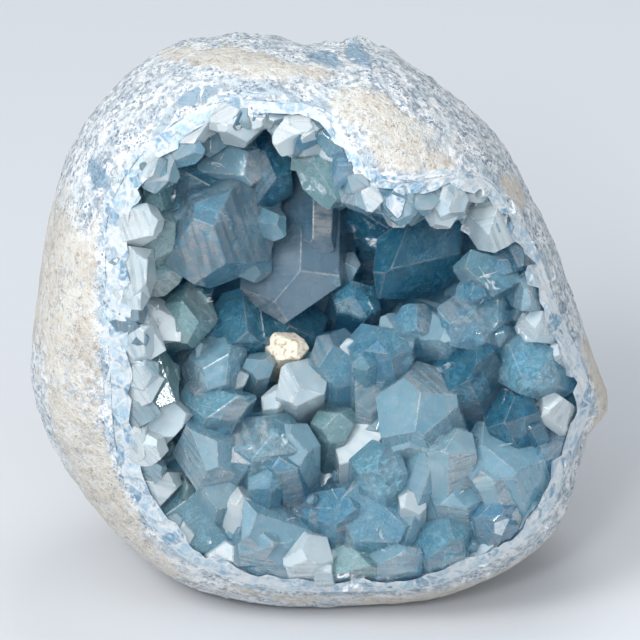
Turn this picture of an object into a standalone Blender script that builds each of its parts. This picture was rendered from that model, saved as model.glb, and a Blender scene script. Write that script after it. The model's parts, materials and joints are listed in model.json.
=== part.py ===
"""Celestite geode: an egg-shaped nodule of pale rock, open in front, its hollow lined with blue crystals.

The nodule stands upright on a small ground spot. Its shape is laid out across its mouth, as a
viewer looks into it from a little above: u runs to the right, v up, and w out towards the viewer.
Lengths in the tables are in millimetres, and angles in degrees from u towards v.
"""

import math

import bmesh
import bpy
import numpy as np

MM = 0.001

# The nodule: an upright egg with rather square shoulders.
EGG_HALF_WIDTH = 95.0
EGG_HALF_DEPTH = 62.0
EGG_HALF_HEIGHT = 101.0
EGG_SQUARENESS = 2.4
EGG_CENTRE = (4.5, -4.5, 99.2)
SIGHT_TILT = math.radians(28.0)
GROUND_CUT_HEIGHT = 0.0

# The outline seen from in front and above: (angle, radius).
OUTLINE = [
    (0, 82.5), (14, 78.0), (28, 77.0), (45, 80.0), (65, 84.0), (78, 88.0), (93, 88.5), (104, 93.5),
    (121, 102.5), (137, 103.5), (152, 100.5), (175, 96.5), (195, 102.0), (220, 102.5), (238, 104.0),
    (256, 101.5), (272, 100.0), (292, 103.5), (318, 104.0), (327, 99.0), (334, 96.0), (342, 95.5),
    (350, 89.0),
]
# The mouth, where rock gives way to crystal: (angle, radius).
MOUTH = [
    (0, 75.5), (15, 71.0), (30, 68.0), (41, 66.0), (50, 57.0), (58, 49.0), (70, 46.0), (80, 51.0),
    (90, 63.0), (104, 70.0), (121, 78.0), (138, 80.0), (152, 80.0), (175, 74.0), (195, 75.0),
    (220, 88.0), (238, 95.0), (256, 95.0), (272, 94.0), (292, 98.0), (318, 99.0), (328, 94.0),
    (342, 91.0), (350, 83.5),
]
LUMP_HEIGHT = 0.9

# The hollow: its deepest point, and how far its wall bellies out behind a thick rim and a thin one.
HOLLOW_POLE = np.array([-8.0, 16.0, -26.0])
BELLY_THICK_RIM = 108.0
BELLY_THIN_RIM = 88.0
THICK_RIM = 22.0

# The crust: the gap left to the rock, and the massive layer that the crystals grow from.
GAP = 0.3
LINING_AT_LIP = [
    (0, 8.0), (45, 6.5), (70, 4.5), (100, 5.5), (150, 11.0), (190, 11.5), (230, 8.0), (270, 5.0),
    (320, 7.0),
]
LINING_HALFWAY = [
    (0, 30.0), (60, 20.0), (110, 13.0), (160, 16.0), (200, 24.0), (240, 27.0), (270, 26.0), (320, 31.0),
]
LINING_AT_POLE = 22.0
LINING_BEHIND = 3.0
LIP_OVERRUN = 14.0
ROOT_DEPTH = 6.0

# How finely the rock and the crust's back are cut.
ROUND_STEPS = 54
OUTER_ROWS = 18
HOLLOW_ROWS = 7
CAP_ROWS = 5

# Celestite's angles: between the growth axis and each face's normal.
CHISEL_ANGLE = math.radians(38.0)
DOME_ANGLE = math.radians(50.6)
PRISM_ANGLE = math.radians(37.9)

# The crystals that show: the head's (u, v), how far it lies below the egg's form, the width, how far it
# leans to the right and up for each step towards the viewer, and its turn about its axis in degrees.
CRYSTALS = [
    # The cluster at the upper left, which leans out over the hollow.
    (-44, 38, 26, 22, 0.5, -0.4, 20),
    (-32, 43, 25, 17, 0.3, -0.6, 60),
    (-22, 41, 30, 17, 0.1, -0.5, -15),
    (-32, 21, 21, 30, 0.3, -0.4, 35),
    (-50, 23, 19, 17, 0.7, -0.1, 10),
    (-20, 27, 28, 9, 0.2, -0.3, 50),
    (-54, 36, 17, 11, 0.6, -0.4, 35),
    (-56, 11, 17, 13, 0.8, 0.0, 60),
    (-47, 8, 33, 13, 0.5, 0.0, 15),
    # The dark pillar that hangs at the back.
    (-11, -1, 44, 27, -0.07, -3.2, 8),
    # Pale heads under the top rim.
    (-3, 53, 9, 17, 0.0, -0.9, 25),
    (-15, 60, 11, 11, 0.1, -0.9, 0),
    (-9, 61, 4, 12, 0.0, -0.7, 50),
    (4, 46, 12, 14, 0.0, -1.2, 70),
    (-1, 37, 16, 17, 0.0, -1.8, 5),
    (13, 37, 14, 14, 0.0, -1.8, 40),
    (25, 33, 14, 18, -0.1, -1.8, 0),
    # The right side, from the rim down.
    (18, 25, 44, 18, 0.1, -0.5, 30),
    (28, 15, 30, 25, -0.2, -0.3, 55),
    (43, 41, 4, 17, -0.5, -0.7, 15),
    (42, 53, 1, 15, -0.4, -0.8, 75),
    (36, 30, 9, 8, -0.3, -0.4, 20),
    (47, 26, 9, 18, -0.6, -0.4, 30),
    (48, 12, 15, 15, -0.5, 0.0, 0),
    (45, -1, 19, 18, -0.4, 0.1, 65),
    (58, 19, 9, 13, -0.7, -0.1, 45),
    (61, 8, 10, 14, -0.8, 0.0, 10),
    (63, -5, 8, 10, -0.7, 0.1, 70),
    (73, 12, 1, 15, -0.9, 0.0, 35),
    (73, -5, 2, 17, -0.9, 0.1, 5),
    (61, -17, 12, 16, -0.6, 0.2, 50),
    # The middle of the hollow.
    (4, 14, 48, 10, 0.0, 0.2, 80),
    (-10, -4, 47, 14, 0.0, 0.3, 35),
    (9, 4, 42, 12, 0.1, 0.3, 0),
    (15, -7, 27, 16, -0.1, 0.8, 15),
    (22, -6, 30, 11, 0.0, 0.6, 50),
    (28, -2, 30, 11, 0.0, 0.5, 20),
    (35, -5, 27, 12, -0.1, 0.4, 0),
    (41, -14, 26, 19, -0.3, 0.6, 30),
    (28, -27, 21, 23, -0.2, 0.6, 70),
    (3, -13, 35, 15, 0.0, 0.7, 40),
    (9, -12, 33, 8, 0.1, 0.5, 10),
    (14, -24, 28, 11, 0.0, 0.6, 60),
    (-9, -23, 25, 14, 0.0, 0.3, 44),
    (2, -35, 29, 11, 0.1, 0.5, 25),
    (10, -40, 29, 14, 0.0, 0.6, 75),
    (-23, -17, 31, 8, 0.1, 0.4, 30),
    (-18, -28, 29, 8, 0.0, 0.5, 65),
    # The left side.
    (-27, -2, 38, 20, 0.2, 0.4, 20),
    (-42, -1, 24, 17, 0.6, 0.1, 50),
    (-54, -2, 16, 14, 0.7, 0.1, 0),
    (-34, -15, 28, 16, 0.4, 0.4, 70),
    (-57, -20, 13, 18, 0.6, 0.3, 25),
    (-53, -33, 13, 14, 0.5, 0.5, 55),
    (-36, -26, 22, 17, 0.3, 0.6, 10),
    (-37, -41, 15, 17, 0.3, 0.6, 80),
    (-20, -38, 20, 19, 0.1, 0.7, 30),
    (-28, -43, 19, 8, 0.2, 0.6, 0),
    (-57, -53, 8, 14, 0.5, 0.6, 0),
    # The front of the floor.
    (-12, -42, 21, 12, 0.0, 0.7, 20),
    (-21, -53, 17, 10, 0.1, 0.7, 60),
    (-35, -53, 17, 13, 0.2, 0.7, 35),
    (-42, -66, 15, 24, 0.3, 0.6, 10),
    (-28, -61, 17, 9, 0.2, 0.8, 40),
    (-17, -66, 16, 23, 0.1, 0.6, 55),
    (-9, -76, 11, 15, 0.0, 0.6, 0),
    (-33, -79, 9, 14, 0.2, 0.7, 75),
    (-19, -85, 6, 14, 0.1, 0.7, 30),
    (1, -60, 18, 15, 0.0, 0.6, 45),
    (16, -49, 17, 14, 0.0, 0.7, 5),
    (17, -63, 16, 20, 0.0, 0.6, 20),
    (27, -61, 15, 8, 0.0, 0.5, 70),
    (35, -72, 13, 17, -0.1, 0.7, 40),
    (41, -58, 15, 14, -0.1, 0.6, 15),
    (8, -81, 8, 14, 0.0, 0.7, 60),
    (21, -77, 10, 14, 0.0, 0.7, 10),
    # The floor at the lower right.
    (39, -40, 17, 15, 0.0, 0.9, 0),
    (54, -44, 13, 20, -0.3, 0.8, 30),
    (68, -43, 11, 15, -0.5, 0.6, 60),
    (57, -28, 15, 17, -0.3, 0.6, 10),
    (69, -30, 9, 10, -0.7, 0.5, 45),
    (80, -29, 1, 16, -0.9, 0.4, 20),
    (79, -46, 5, 13, -0.8, 0.5, 70),
    (74, -60, 6, 14, -0.7, 0.7, 0),
    (64, -64, 9, 13, -0.4, 0.8, 50),
    (52, -60, 13, 15, -0.1, 0.8, 25),
    (51, -75, 9, 16, -0.1, 0.7, 65),
    # Heads at the left and top rims, ground down with the rock.
    (-62, 30, 1, 20, 0.9, -0.2, 30),
    (-61, 12, 2, 17, 0.9, 0.0, 0),
    (-64, -40, 2, 15, 0.8, 0.6, 65),
    (-62, -9, 2, 15, 0.9, 0.1, 45),
    (-54, 45, 1, 20, 0.7, -0.7, 15),
    (-41, 58, 5, 17, 0.4, -0.8, 45),
    (-28, 59, 6, 15, 0.2, -0.9, 75),
    (-52, -70, 6, 14, 0.5, 0.7, 20),
]
# A chip of the matrix rock, cemented between the crystals.
ROCK_CHIP = (-14, -11, 33, 10, 0.1, 0.3, 15)


def smooth_table(table, degrees):
    """Reads a closed table of (angle, value) at any angles, through a smooth curve past every entry."""
    angles = np.array([a for a, _ in table], float)
    values = np.array([b for _, b in table], float)
    angles = np.concatenate([angles[-2:] - 360, angles, angles[:2] + 360])
    values = np.concatenate([values[-2:], values, values[:2]])
    slopes = np.gradient(values, angles)
    degrees = np.mod(degrees, 360.0)
    i = np.clip(np.searchsorted(angles, degrees, side="right") - 1, 0, len(angles) - 2)
    span = angles[i + 1] - angles[i]
    t = (degrees - angles[i]) / span
    return (
        values[i] * (1 + 2 * t) * (1 - t) ** 2
        + slopes[i] * span * t * (1 - t) ** 2
        + values[i + 1] * t * t * (3 - 2 * t)
        + slopes[i + 1] * span * t * t * (t - 1)
    )


def to_world(points):
    """Turns (u, v, w) in millimetres into x, y and z in metres."""
    u, v, w = np.moveaxis(np.asarray(points, float), -1, 0)
    up, out = math.cos(SIGHT_TILT), math.sin(SIGHT_TILT)
    world = np.stack([u, v * out - w * up, v * up + w * out], axis=-1)
    return (world + np.array(EGG_CENTRE)) * MM


def egg_reach(theta, phi):
    """The plain egg's reach from its centre, theta round the sight line and phi towards the viewer."""
    across, up = np.cos(phi) * np.cos(theta), np.cos(phi) * np.sin(theta)
    out = np.sin(phi)
    y = up * math.sin(SIGHT_TILT) - out * math.cos(SIGHT_TILT)
    z = up * math.cos(SIGHT_TILT) + out * math.sin(SIGHT_TILT)
    p = EGG_SQUARENESS
    total = (
        np.abs(across / EGG_HALF_WIDTH) ** p
        + np.abs(y / EGG_HALF_DEPTH) ** p
        + np.abs(z / EGG_HALF_HEIGHT) ** p
    )
    return total ** (-1 / p)


def lumps(theta, phi):
    """Broad low lumps of the tumbled rock, a few waves laid over each other."""
    a, b, c = np.cos(phi) * np.cos(theta), np.cos(phi) * np.sin(theta), np.sin(phi)
    waves = np.sin(5.1 * a + 2.3 * b + 0.7) + np.sin(4.3 * b - 3.7 * c + 1.9)
    waves += 0.7 * np.sin(7.9 * c + 5.3 * a + 4.1) + 0.5 * np.sin(11.3 * b + 8.7 * a + 2.6)
    return LUMP_HEIGHT * waves / 2


def widening(theta):
    """How far the egg is stretched sideways at each angle, so that its outline is the one in the table."""
    phi = np.radians(np.linspace(-60, 60, 121))[:, None]
    widest = (egg_reach(theta[None, :], phi) * np.cos(phi)).max(axis=0)
    return smooth_table(OUTLINE, np.degrees(theta)) / widest


def form_point(theta, phi):
    """A point of the tumbled outer form, as (u, v, w). theta and phi are arrays of one shape."""
    flat = theta.reshape(-1)
    reach = egg_reach(flat, phi.reshape(-1)) + lumps(flat, phi.reshape(-1))
    side = reach * np.cos(phi.reshape(-1)) * widening(flat)
    points = np.stack([side * np.cos(flat), side * np.sin(flat), reach * np.sin(phi.reshape(-1))], axis=-1)
    return points.reshape(theta.shape + (3,))


def lip_angle(theta):
    """The angle phi at which the outer form narrows to the mouth's radius, in front of its widest line."""
    phi = np.radians(np.linspace(-30, 90, 241))
    grid = np.stack(np.broadcast_arrays(theta[:, None], phi[None, :]))
    side = np.linalg.norm(form_point(grid[0], grid[1])[..., :2], axis=-1)
    mouth = smooth_table(MOUTH, np.degrees(theta))
    found = []
    for row, radius in zip(side, mouth):
        front = np.arange(row.argmax(), len(phi))
        found.append(np.interp(-radius, -row[front], phi[front]))
    return np.array(found)


def rim_thickness(theta):
    """How thick the rock's rim is at each angle, as a share of the thickest."""
    rim = smooth_table(OUTLINE, np.degrees(theta)) - smooth_table(MOUTH, np.degrees(theta))
    return np.clip(rim / THICK_RIM, 0, 1)


def hollow_wall(theta, share):
    """The hollow's wall: share runs from 0 at its deepest point to 1 at the lip."""
    lip = form_point(theta, lip_angle(theta))
    belly = np.radians(BELLY_THIN_RIM + (BELLY_THICK_RIM - BELLY_THIN_RIM) * rim_thickness(theta))
    side = np.sin(share[:, None] * belly) / np.sin(belly)
    rise = 1 - np.cos(share[:, None] * math.pi / 2)
    weights = np.stack([side, side, np.broadcast_to(rise, side.shape)], axis=-1)
    return HOLLOW_POLE + (lip - HOLLOW_POLE)[None] * weights


def inward_normals(wall):
    """Unit normals of the hollow's wall that point into the hollow, for a grid of its points."""
    along = np.gradient(wall, axis=0)
    around = np.roll(wall, -1, axis=1) - np.roll(wall, 1, axis=1)
    normals = np.cross(along, around)
    normals[0] = (0, 0, 1)
    return normals / np.linalg.norm(normals, axis=-1, keepdims=True)


def closed_grid(name, rows, material):
    """An object from rings of points, each row one ring, closed by a single point at either end."""
    first, last = rows[0].mean(axis=0), rows[-1].mean(axis=0)
    rings = to_world(rows[1:-1])
    count, steps = rings.shape[:2]
    points = np.concatenate([rings.reshape(-1, 3), to_world(np.array([first, last]))])
    i, j = np.meshgrid(np.arange(count - 1), np.arange(steps), indexing="ij")
    k = (j + 1) % steps
    low = np.stack([i * steps + j, i * steps + k, (i + 1) * steps + k], axis=-1)
    high = np.stack([i * steps + j, (i + 1) * steps + k, (i + 1) * steps + j], axis=-1)
    faces = np.concatenate([low.reshape(-1, 3), high.reshape(-1, 3)]).tolist()
    start, end, top = count * steps, count * steps + 1, (count - 1) * steps
    faces += [(start, (j + 1) % steps, j) for j in range(steps)]
    faces += [(end, top + j, top + (j + 1) % steps) for j in range(steps)]
    mesh = bpy.data.meshes.new(name)
    mesh.from_pydata(points.tolist(), [], faces)
    return finished(name, mesh, material)


def finished(name, mesh, material):
    """Links a mesh as an object with its faces turned outwards."""
    shape = bmesh.new()
    shape.from_mesh(mesh)
    bmesh.ops.recalc_face_normals(shape, faces=shape.faces)
    shape.to_mesh(mesh)
    shape.free()
    mesh.materials.append(material)
    made = bpy.data.objects.new(name, mesh)
    bpy.context.scene.collection.objects.link(made)
    return made


def surface_material(name, colour, roughness, transmission=0.0):
    """A plain finish."""
    made = bpy.data.materials.new(name)
    made.use_nodes = True
    shader = made.node_tree.nodes["Principled BSDF"]
    shader.inputs["Base Color"].default_value = (*colour, 1.0)
    shader.inputs["Roughness"].default_value = roughness
    shader.inputs["Metallic"].default_value = 0.0
    shader.inputs["Transmission Weight"].default_value = transmission
    return made


def ring_angles():
    """The angles of the lines that run from back to front."""
    return np.radians(np.arange(ROUND_STEPS) * 360.0 / ROUND_STEPS)


def make_rind(material):
    """The rock: out along the hollow's wall to the lip, then round the egg to its back."""
    theta = ring_angles()
    lip = lip_angle(theta)
    share = np.linspace(0, 1, OUTER_ROWS + 1)[1:, None]
    phi = lip[None, :] - (lip[None, :] + math.pi / 2) * share
    outer = form_point(np.broadcast_to(theta, phi.shape).copy(), phi)
    wall = hollow_wall(theta, np.linspace(0, 1, HOLLOW_ROWS + 1))
    rind = closed_grid("rind", np.concatenate([wall, outer]), material)
    grind_foot(rind)
    return rind


def grind_foot(rind):
    """Cuts the egg's lowest part off level and closes the cut with one flat face."""
    shape = bmesh.new()
    shape.from_mesh(rind.data)
    cut = bmesh.ops.bisect_plane(
        shape,
        geom=shape.verts[:] + shape.edges[:] + shape.faces[:],
        plane_co=(0, 0, GROUND_CUT_HEIGHT),
        plane_no=(0, 0, -1),
        clear_outer=True,
    )
    edges = [e for e in cut["geom_cut"] if isinstance(e, bmesh.types.BMEdge)]
    bmesh.ops.contextual_create(shape, geom=edges)
    bmesh.ops.recalc_face_normals(shape, faces=shape.faces)
    shape.to_mesh(rind.data)
    shape.free()


def make_room(theta, material):
    """The space that the crust may fill: the hollow, a gap clear of its wall, up to the egg's own form."""
    wall = hollow_wall(theta, np.linspace(0, 1, HOLLOW_ROWS + 1))
    back = wall + inward_normals(wall) * GAP
    lip = lip_angle(theta)
    share = np.linspace(0, 1, CAP_ROWS + 1)[1:, None]
    phi = lip[None, :] + (math.pi / 2 - lip[None, :]) * share
    cap = form_point(np.broadcast_to(theta, phi.shape).copy(), phi)
    cap[..., 2] -= GAP
    return closed_grid("room", np.concatenate([back, cap]), material)


def make_lining(theta, material):
    """The massive layer on the wall, a little too thick behind and too long at the lip, to be trimmed."""
    share = np.linspace(0, 1, HOLLOW_ROWS + 1)
    wall = hollow_wall(theta, share)
    inward = inward_normals(wall)
    s = share[:, None, None]
    depth = LINING_AT_POLE * (1 - s) ** 2
    depth = depth + 2 * s * (1 - s) * smooth_table(LINING_HALFWAY, np.degrees(theta))[:, None]
    depth = depth + s**2 * smooth_table(LINING_AT_LIP, np.degrees(theta))[:, None]
    over = np.array([0, 0, LIP_OVERRUN])
    back, front = wall - inward * LINING_BEHIND, wall + inward * depth
    rows = np.concatenate([back, back[-1:] + over, front[-1:] + over, front[::-1]])
    return closed_grid("crystal_crust", rows, material)


def form_depth(u, v):
    """The depth w of the egg's own form in front of (u, v)."""
    phi = np.radians(np.linspace(90, 0, 91))
    line = form_point(np.full(phi.shape, math.atan2(v, u)), phi)
    return np.interp(math.hypot(u, v), np.hypot(line[:, 0], line[:, 1]), line[:, 2])


def root_length(head, axis, wall):
    """How far back along its axis a crystal reaches the wall."""
    sheet = wall.reshape(-1, 3)
    steps = np.arange(4.0, 110.0, 1.0)
    line = head - axis * steps[:, None]
    for step, point in zip(steps, line):
        nearest = sheet[np.argmin(((sheet - point) ** 2).sum(axis=1))]
        if ((point - nearest) ** 2).sum() < 9.0 or point[2] < nearest[2] - 1.0:
            return step + ROOT_DEPTH
    return steps[-1]


def crystal_faces(width, length, variety):
    """The flat faces that bound one crystal, as normals and distances from its head.

    x is its b axis, y its c axis and z the a axis that it grows along. Four prism faces and two side
    faces make the shaft, and two chisel and two dome faces the head.
    """
    chisel, dome, side, skew = variety
    half = width / 2
    normals, reach = [], []
    for sign_x in (1, -1):
        for sign_y in (1, -1):
            normals.append((sign_x * math.cos(PRISM_ANGLE), sign_y * math.sin(PRISM_ANGLE), 0))
            reach.append(half * (1 + 0.12 * skew * sign_x * sign_y))
        normals.append((sign_x * math.sin(CHISEL_ANGLE), 0, math.cos(CHISEL_ANGLE)))
        reach.append(half * chisel * (1 + 0.25 * skew * sign_x))
        normals.append((0, sign_x * math.sin(DOME_ANGLE), math.cos(DOME_ANGLE)))
        reach.append(half * dome * (1 - 0.25 * skew * sign_x))
        normals.append((0, sign_x, 0))
        reach.append(half * side)
    normals.append((0, 0, -1))
    reach.append(length)
    return np.array(normals), np.array(reach)


def cut_crystal(name, head, axis, turn, normals, reach, material):
    """Cuts one crystal from a block, a plane for each of its faces, and stands it at its place."""
    side = np.cross(axis, (0.3, 1.0, 0.2))
    side /= np.linalg.norm(side)
    other = np.cross(axis, side)
    c, s = math.cos(math.radians(turn)), math.sin(math.radians(turn))
    turned = np.array([c * side + s * other, -s * side + c * other, axis])
    shape = bmesh.new()
    bmesh.ops.create_cube(shape, size=4 * reach.max())
    for normal, distance in zip(normals, reach):
        cut = bmesh.ops.bisect_plane(
            shape,
            geom=shape.verts[:] + shape.edges[:] + shape.faces[:],
            plane_co=normal * distance,
            plane_no=normal,
            clear_outer=True,
        )
        edges = [e for e in cut["geom_cut"] if isinstance(e, bmesh.types.BMEdge)]
        if edges:
            bmesh.ops.contextual_create(shape, geom=edges)
    for vertex in shape.verts:
        vertex.co = to_world(np.array(vertex.co) @ turned + head)
    mesh = bpy.data.meshes.new(name)
    shape.to_mesh(mesh)
    shape.free()
    return finished(name, mesh, material)


def make_crust(material):
    """The lining and every crystal, joined in one body and trimmed to the room that they have."""
    theta = ring_angles()
    lining = make_lining(theta, material)
    room = make_room(theta, material)
    wall = hollow_wall(np.radians(np.arange(0, 360, 2.0)), np.linspace(0, 1, 60))
    growth = bpy.data.collections.new("growth")
    bpy.context.scene.collection.children.link(growth)
    chance = np.random.default_rng(7)
    for i, (u, v, sunk, width, lean_right, lean_up, turn) in enumerate(CRYSTALS + [ROCK_CHIP]):
        axis = np.array([lean_right, lean_up, 1.0])
        axis /= np.linalg.norm(axis)
        head = np.array([u, v, form_depth(u, v) - sunk]) - axis * width / 2
        variety = chance.uniform((0.7, 0.8, 0.75, -1.0), (1.2, 1.4, 1.15, 1.0))
        normals, reach = crystal_faces(width, root_length(head, axis, wall), variety)
        crystal = cut_crystal(f"crystal_{i}", head, axis, turn, normals, reach, material)
        bpy.context.scene.collection.objects.unlink(crystal)
        growth.objects.link(crystal)
    for helper in [*growth.objects, room]:
        helper.hide_render = True
        helper.display_type = "WIRE"
    joined = lining.modifiers.new("join the crystals", "BOOLEAN")
    joined.operation = "UNION"
    joined.operand_type = "COLLECTION"
    joined.collection = growth
    joined.solver = "EXACT"
    trimmed = lining.modifiers.new("trim to the room", "BOOLEAN")
    trimmed.operation = "INTERSECT"
    trimmed.object = room
    trimmed.solver = "EXACT"
    graph = bpy.context.evaluated_depsgraph_get()
    grown = bpy.data.meshes.new_from_object(lining.evaluated_get(graph))
    lining.modifiers.clear()
    lining.data = grown
    fill_pockets(lining)
    return lining


def fill_pockets(crust):
    """Keeps the outer skin alone, so that pockets sealed in between crystals are solid."""
    shape = bmesh.new()
    shape.from_mesh(crust.data)
    unseen = set(shape.faces)
    skins = []
    while unseen:
        skin = {unseen.pop()}
        front = list(skin)
        while front:
            around = {face for edge in front.pop().edges for face in edge.link_faces}
            fresh = around & unseen
            unseen -= fresh
            skin |= fresh
            front += fresh
        skins.append(skin)
    outer = max(skins, key=lambda skin: sum(face.calc_area() for face in skin))
    bmesh.ops.delete(shape, geom=[face for face in shape.faces if face not in outer], context="FACES")
    shape.to_mesh(crust.data)
    shape.free()


def main():
    for old in list(bpy.data.objects):
        bpy.data.objects.remove(old)
    make_rind(surface_material("pale rock", (0.72, 0.70, 0.64), 0.75))
    make_crust(surface_material("celestite", (0.36, 0.52, 0.64), 0.2, 0.6))


main()
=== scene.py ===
"""Celestite geode, finished: a tumbled nodule of chalky rock, its hollow full of blue crystals.

The nodule is laid out across its mouth, as a viewer looks into it from a little above: u runs to
the right, v up and w out towards the viewer, in millimetres from the middle of the egg. Angles are
in degrees from u towards v.
"""

import itertools
import json
import math

import bpy
import numpy as np
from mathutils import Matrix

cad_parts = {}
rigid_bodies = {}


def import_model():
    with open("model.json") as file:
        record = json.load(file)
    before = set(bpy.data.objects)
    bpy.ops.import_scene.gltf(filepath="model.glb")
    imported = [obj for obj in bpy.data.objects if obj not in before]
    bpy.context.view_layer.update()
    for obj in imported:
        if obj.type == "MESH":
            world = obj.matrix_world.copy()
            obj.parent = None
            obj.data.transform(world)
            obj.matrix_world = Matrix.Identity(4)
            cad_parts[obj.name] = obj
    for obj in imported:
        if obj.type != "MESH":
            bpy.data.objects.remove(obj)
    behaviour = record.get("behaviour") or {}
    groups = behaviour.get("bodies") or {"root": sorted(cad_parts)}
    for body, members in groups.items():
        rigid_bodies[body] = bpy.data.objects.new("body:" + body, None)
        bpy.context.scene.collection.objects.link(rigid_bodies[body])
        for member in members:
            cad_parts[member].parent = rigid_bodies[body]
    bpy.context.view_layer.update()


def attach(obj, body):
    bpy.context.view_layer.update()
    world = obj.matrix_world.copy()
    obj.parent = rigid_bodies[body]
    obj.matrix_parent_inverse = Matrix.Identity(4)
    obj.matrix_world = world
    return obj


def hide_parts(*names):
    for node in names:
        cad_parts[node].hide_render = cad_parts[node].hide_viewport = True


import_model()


# Camera
# A long lens, looking down into the hollow at 28 degrees, with the egg's middle a little to the
# right of the picture's, and above it.
MM = 0.001
EGG_CENTRE = np.array([4.5, -4.5, 99.2])
SIGHT_TILT = math.radians(28.0)
UP_PER_V, UP_PER_W = math.cos(SIGHT_TILT), math.sin(SIGHT_TILT)
PIXELS_PER_MM = 3.0
PICTURE_WIDTH = 640 / PIXELS_PER_MM
PICTURE_MIDDLE = (-10 / PIXELS_PER_MM, -10 / PIXELS_PER_MM, 0.0)
CAMERA_DISTANCE = 4000.0


def to_world(points):
    """Turns (u, v, w) in millimetres into x, y, z in metres, with v and w tilted by the sight line."""
    u, v, w = np.moveaxis(np.asarray(points, float), -1, 0)
    world = np.stack([u, v * UP_PER_W - w * UP_PER_V, v * UP_PER_V + w * UP_PER_W], axis=-1)
    return (world + EGG_CENTRE) * MM


def put_in_scene(name, data):
    """Makes an object of a mesh, lamp or camera and links it to the scene."""
    made = bpy.data.objects.new(name, data)
    bpy.context.scene.collection.objects.link(made)
    return made


lens = bpy.data.cameras.new("camera")
lens.lens = lens.sensor_width * CAMERA_DISTANCE / PICTURE_WIDTH
lens.clip_end = 20.0
camera = put_in_scene("camera", lens)
camera.location = to_world(np.array(PICTURE_MIDDLE) + (0, 0, CAMERA_DISTANCE))
camera.rotation_euler = (math.pi / 2 - SIGHT_TILT, 0, 0)
bpy.context.scene.camera = camera


# The rock
# An egg of chalky marl, tumbled smooth, thick at the left and top and thin at the right. Towards the
# mouth it passes into white massive celestite with blue-grey grains. It is ground level below.
EGG_HALF_WIDTH = 95.0
EGG_HALF_DEPTH = 62.0
EGG_HALF_HEIGHT = 101.0
EGG_SQUARENESS = 2.4
# The outline as the camera sees it, and the mouth, where rock gives way to crystal: (angle, radius).
OUTLINE = [
    (0, 82.5), (14, 78.0), (28, 77.0), (45, 80.0), (65, 84.0), (78, 88.0), (93, 88.5), (104, 93.5),
    (121, 102.5), (137, 103.5), (152, 100.5), (175, 96.5), (195, 102.0), (220, 102.5), (238, 104.0),
    (256, 101.5), (272, 100.0), (292, 103.5), (318, 104.0), (327, 99.0), (334, 96.0), (342, 95.5),
    (350, 89.0),
]
MOUTH = [
    (0, 75.5), (15, 71.0), (30, 68.0), (41, 66.0), (50, 57.0), (58, 49.0), (70, 46.0), (80, 51.0),
    (90, 63.0), (104, 70.0), (121, 78.0), (138, 80.0), (152, 80.0), (175, 74.0), (195, 75.0),
    (220, 88.0), (238, 95.0), (256, 95.0), (272, 94.0), (292, 98.0), (318, 99.0), (328, 94.0),
    (342, 91.0), (350, 83.5),
]
LUMP_HEIGHT = 0.9
# The hollow: its deepest point, and how far its wall bellies out behind a thick rim and a thin one.
HOLLOW_POLE = np.array([-8.0, 16.0, -26.0])
BELLY_THICK_RIM = 108.0
BELLY_THIN_RIM = 88.0
THICK_RIM = 22.0
ROCK_RING_STEPS = 420
ROCK_OUTER_ROWS = 176
ROCK_HOLLOW_ROWS = 10
# Small knobs that stand up on the skyline: (u, v, w, radius, height).
ROCK_KNOBS = [
    (8, 86, 17, 8, 3.6), (-1, 87, 18, 6, 1.6), (17, 82, 16, 8, 2.0), (-44, 84, 14, 8, 1.4),
    (-30, 88, 16, 8, 1.8), (-9.5, 88, 18, 5, -3.6), (-20, 89, 17, 7, 1.2), (88, -32, 0, 12, 2.0),
]
# The knobs are long towards the viewer: this much of the distance in w counts.
KNOB_DEPTH_SHARE = 0.45
# Patches where blue crystal shows through the white, and of bare cream marl:
# (u, v, half width, half height, turn).
BLUE_PATCHES = [
    (-2, 83, 9, 4, -10), (9, 84, 7, 4, -20), (-44, 70, 12, 4, 20), (-76, 44, 5, 9, 30),
    (58, 58, 10, 4, -40),
]
CREAM_PATCHES = [
    (-90, 8, 13, 48, 10), (-70, 22, 9, 22, 4), (-78, -52, 9, 34, 24), (-28, 81, 26, 5, -8),
    (12, 66, 12, 7, -20), (26, 50, 13, 17, 35), (34, 44, 8, 12, 20), (60, 37, 4, 7, 20),
    (-5, -96, 30, 5, -4), (34, -99, 24, 5, 6), (-62, -84, 22, 7, -38), (88, -20, 5, 20, 0),
    (84, 10, 4, 20, 12),
]
# The relief of the rock: sizes of its facets, chips, pits and veins, depths, and reaches from the lip.
FACET_SIZE = 5.5
CHIP_SIZE = 2.4
PIT_DEPTH = 2.6
VEIN_SPACING = 17
VEIN_DEPTH = 0.35
RELIEF_SETS_IN = 6
GRAINS_REACH = 13


def smooth_table(table, degrees):
    """Reads a closed table of (angle, value) at any angles, by a cubic curve through every entry."""
    angles = np.array([a for a, _ in table], float)
    values = np.array([b for _, b in table], float)
    angles = np.concatenate([angles[-2:] - 360, angles, angles[:2] + 360])
    values = np.concatenate([values[-2:], values, values[:2]])
    slopes = np.gradient(values, angles)
    degrees = np.mod(degrees, 360.0)
    i = np.clip(np.searchsorted(angles, degrees, side="right") - 1, 0, len(angles) - 2)
    span = angles[i + 1] - angles[i]
    t = (degrees - angles[i]) / span
    return (
        values[i] * (1 + 2 * t) * (1 - t) ** 2
        + slopes[i] * span * t * (1 - t) ** 2
        + values[i + 1] * t * t * (3 - 2 * t)
        + slopes[i + 1] * span * t * t * (t - 1)
    )


def egg_reach(theta, phi):
    """The plain egg's reach: where the powers of x, y and z over its half sizes add up to one."""
    across, up = np.cos(phi) * np.cos(theta), np.cos(phi) * np.sin(theta)
    out = np.sin(phi)
    y = up * UP_PER_W - out * UP_PER_V
    z = up * UP_PER_V + out * UP_PER_W
    p = EGG_SQUARENESS
    total = (
        np.abs(across / EGG_HALF_WIDTH) ** p
        + np.abs(y / EGG_HALF_DEPTH) ** p
        + np.abs(z / EGG_HALF_HEIGHT) ** p
    )
    return total ** (-1 / p)


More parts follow.
